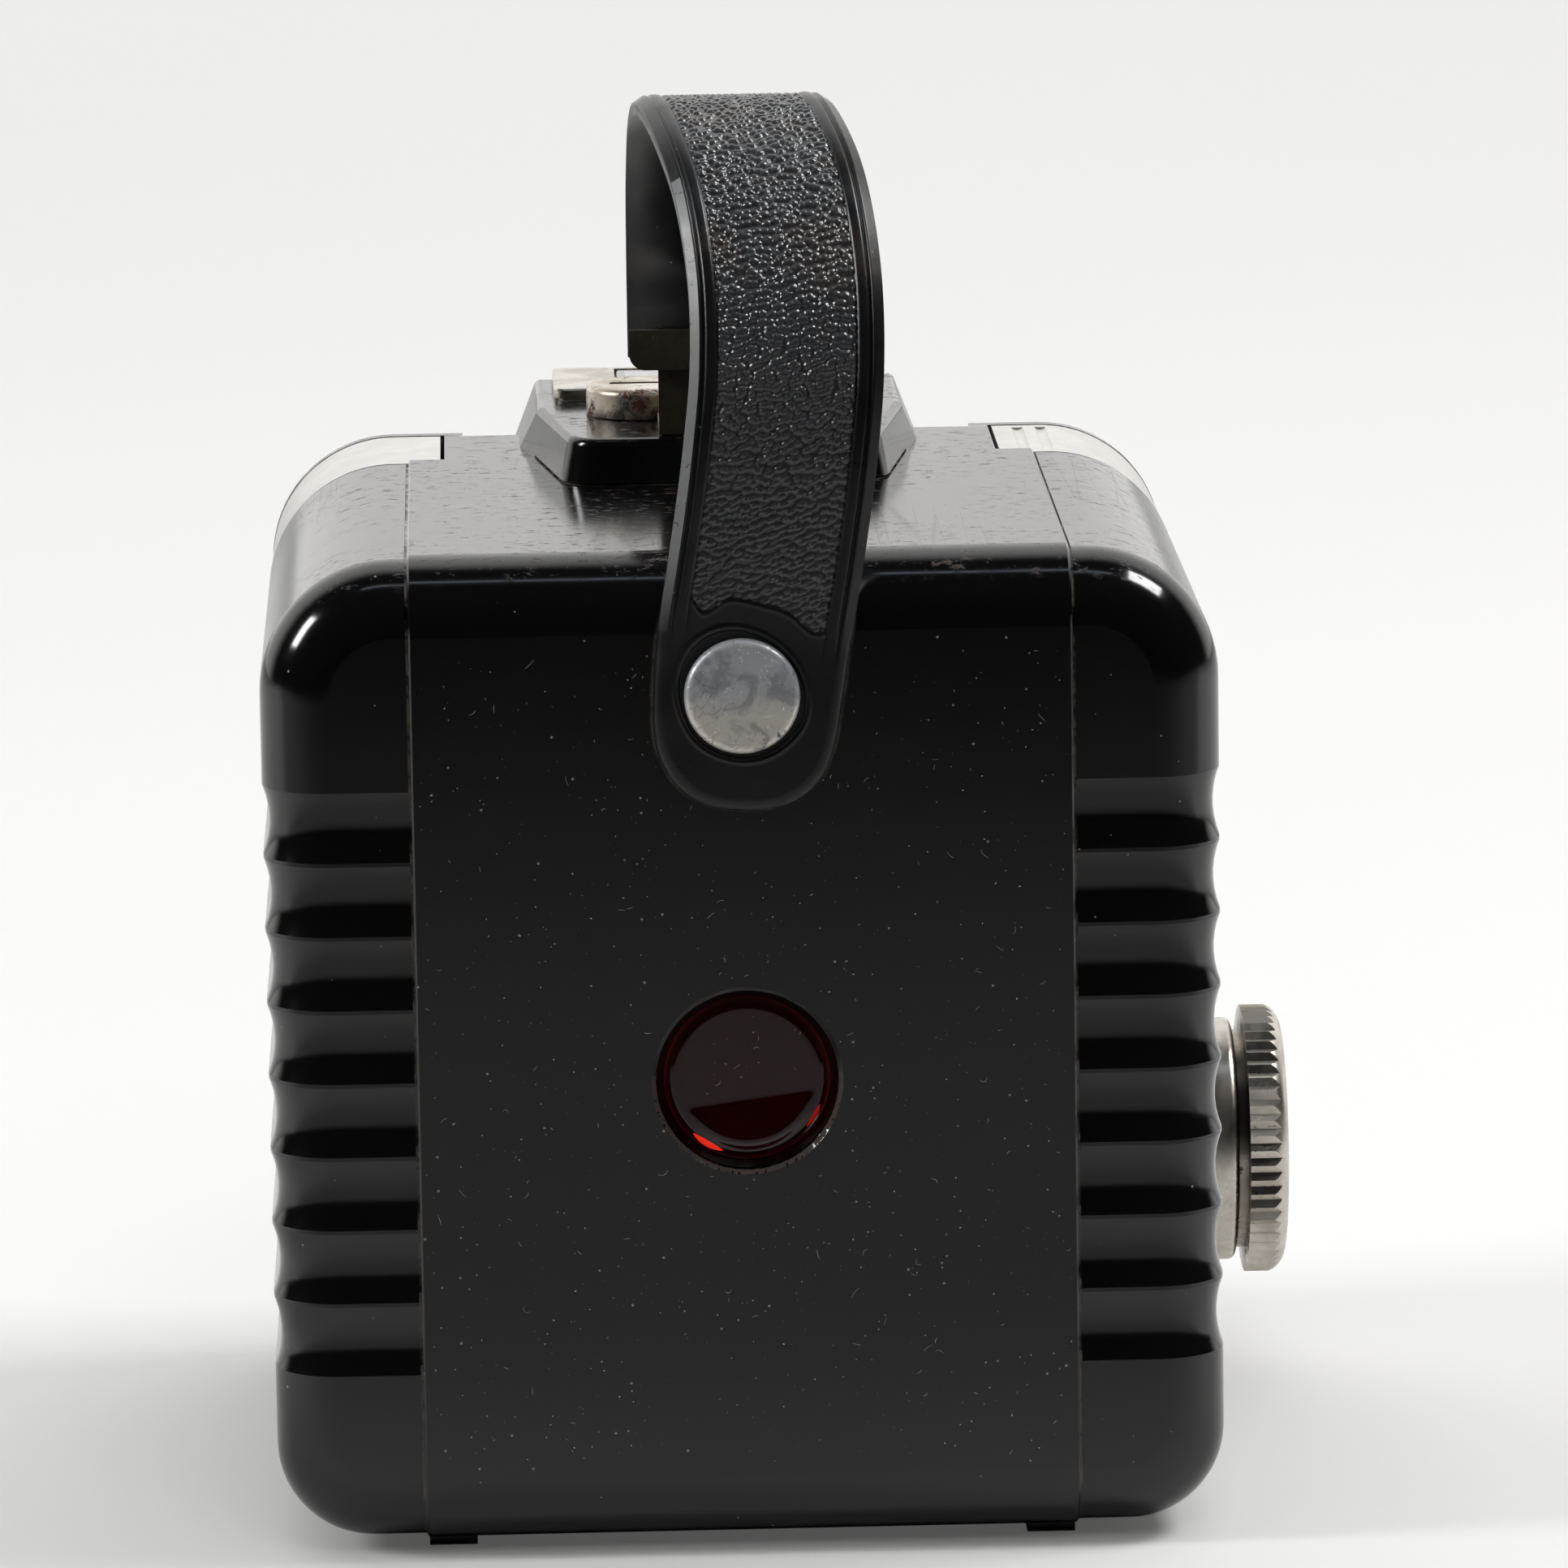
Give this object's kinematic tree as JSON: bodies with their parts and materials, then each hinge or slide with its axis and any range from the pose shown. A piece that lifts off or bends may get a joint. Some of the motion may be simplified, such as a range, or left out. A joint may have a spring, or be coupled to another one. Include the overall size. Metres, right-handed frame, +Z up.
{
  "type": "box camera",
  "caption": "Moulded black box camera with ribbed sides, red film window in the back, carrying strap, winding knob, corner buttons and reflecting finder.",
  "frame": {"origin": "on the ground under the middle of the whole camera, knob and lens included", "axes": "+Z up, the lens looks along -Y, the removable back faces +Y, the winding knob is on -X"},
  "size_m": [0.0996, 0.0956, 0.1345],
  "materials": {
    "bakelite": "glossy black moulding, lightly scratched",
    "grey_plastic": "light grey moulding",
    "vinyl": "black pebbled leathercloth with smooth borders",
    "dull_steel": "dull, stained",
    "plated": "worn nickel plate",
    "tinted_metal": "olive lacquered sheet steel",
    "brass": "dull",
    "red_plastic": "deep red transparent",
    "clear_glass": "polished",
    "mirror": "silvered",
    "black_sheet": "matt black",
    "spring_steel": "satin",
    "black_moulding": "matt black moulding",
    "spool_metal": "satin black enamel"
  },
  "bodies": {
    "front": {"front_shell": "bakelite", "lens_bezel": "plated", "taking_lens": "clear_glass", "lens_retainer": "black_sheet", "finder_objective_lens": "clear_glass", "finder_mirror": "mirror", "finder_field_lens": "clear_glass", "shutter_plate": "black_sheet", "shutter_pivot": "brass", "shutter_screw_1": "spring_steel", "shutter_screw_2": "spring_steel", "film_chassis": "black_moulding", "supply_stud_left": "plated", "supply_stud_right": "plated", "take_up_stud": "plated", "supply_spring": "spring_steel", "winding_bush": "brass", "winding_pawl": "spring_steel", "finder_frame": "plated", "lever_pivot": "spring_steel", "chassis_screw_1": "spring_steel", "chassis_screw_2": "spring_steel", "chassis_screw_3": "spring_steel", "chassis_screw_4": "spring_steel"},
    "back": {"rear_shell": "bakelite", "red_window": "red_plastic", "window_retainer": "black_sheet", "pressure_plate": "black_sheet", "plate_spring_left": "spring_steel", "plate_spring_right": "spring_steel", "carrying_strap": "vinyl", "strap_rivet": "dull_steel", "rivet_washer": "dull_steel", "strap_clasp": "tinted_metal", "clasp_rivet_left": "dull_steel", "clasp_rivet_right": "dull_steel"},
    "latch": {"latch_lever": "plated"},
    "release": {"release_button": "grey_plastic"},
    "long_exposure": {"long_exposure_button": "grey_plastic"},
    "trip": {"release_lever": "spring_steel"},
    "shutter": {"shutter_disc": "black_sheet"},
    "hub": {"winding_hub": "spring_steel"},
    "knob": {"winding_knob": "plated"},
    "spool": {"take_up_spool": "spool_metal"},
    "lower_roller": {"film_roller_lower": "plated"},
    "upper_roller": {"film_roller_upper": "plated"}
  },
  "joints": [
    {"name": "back_slide", "type": "slide", "parent": "front", "child": "back", "axis": [0, 1, 0], "range_m": [0, 0.1]},
    {"name": "latch_turn", "type": "hinge", "parent": "front", "child": "latch", "pos_m": [0.0129, -0.01883, 0.1], "axis": [0, 0, 1], "range_deg": [-90, 0]},
    {"name": "release_press", "type": "slide", "parent": "front", "child": "release", "axis": [0, 0, -1], "range_m": [0, 0.0035], "stiffness_N_per_m": 500, "springref_m": -0.001},
    {"name": "long_exposure_lift", "type": "slide", "parent": "front", "child": "long_exposure", "axis": [0, 0, 1], "range_m": [0, 0.003]},
    {"name": "trip_turn", "type": "hinge", "parent": "front", "child": "trip", "pos_m": [-0.0152, -0.03882, 0.071], "axis": [0, 1, 0], "range_deg": [-16, 0]},
    {"name": "shutter_turn", "type": "hinge", "parent": "front", "child": "shutter", "pos_m": [0.0053, -0.04202, 0.041], "axis": [0, 1, 0], "range_deg": [-60, 0]},
    {"name": "winding_turn", "type": "hinge", "parent": "front", "child": "hub", "pos_m": [-0.0347, -0.02732, 0.0231], "axis": [1, 0, 0], "continuous": true},
    {"name": "knob_pull", "type": "slide", "parent": "hub", "child": "knob", "axis": [-1, 0, 0], "range_m": [0, 0.007]},
    {"name": "spool_turn", "type": "hinge", "parent": "front", "child": "spool", "pos_m": [0.0053, -0.02732, 0.0231], "axis": [1, 0, 0], "continuous": true},
    {"name": "lower_roller_turn", "type": "hinge", "parent": "front", "child": "lower_roller", "pos_m": [0.0053, 0.02977, 0.0146], "axis": [1, 0, 0], "continuous": true},
    {"name": "upper_roller_turn", "type": "hinge", "parent": "front", "child": "upper_roller", "pos_m": [0.0053, 0.02977, 0.086], "axis": [1, 0, 0], "continuous": true}
  ],
  "couplings": [
    {"joint": "spool_turn", "follows": "winding_turn", "ratio": 1},
    {"joint": "trip_turn", "follows": "release_press", "rad_per_m": -60},
    {"joint": "shutter_turn", "follows": "release_press", "rad_per_m": -200}
  ]
}
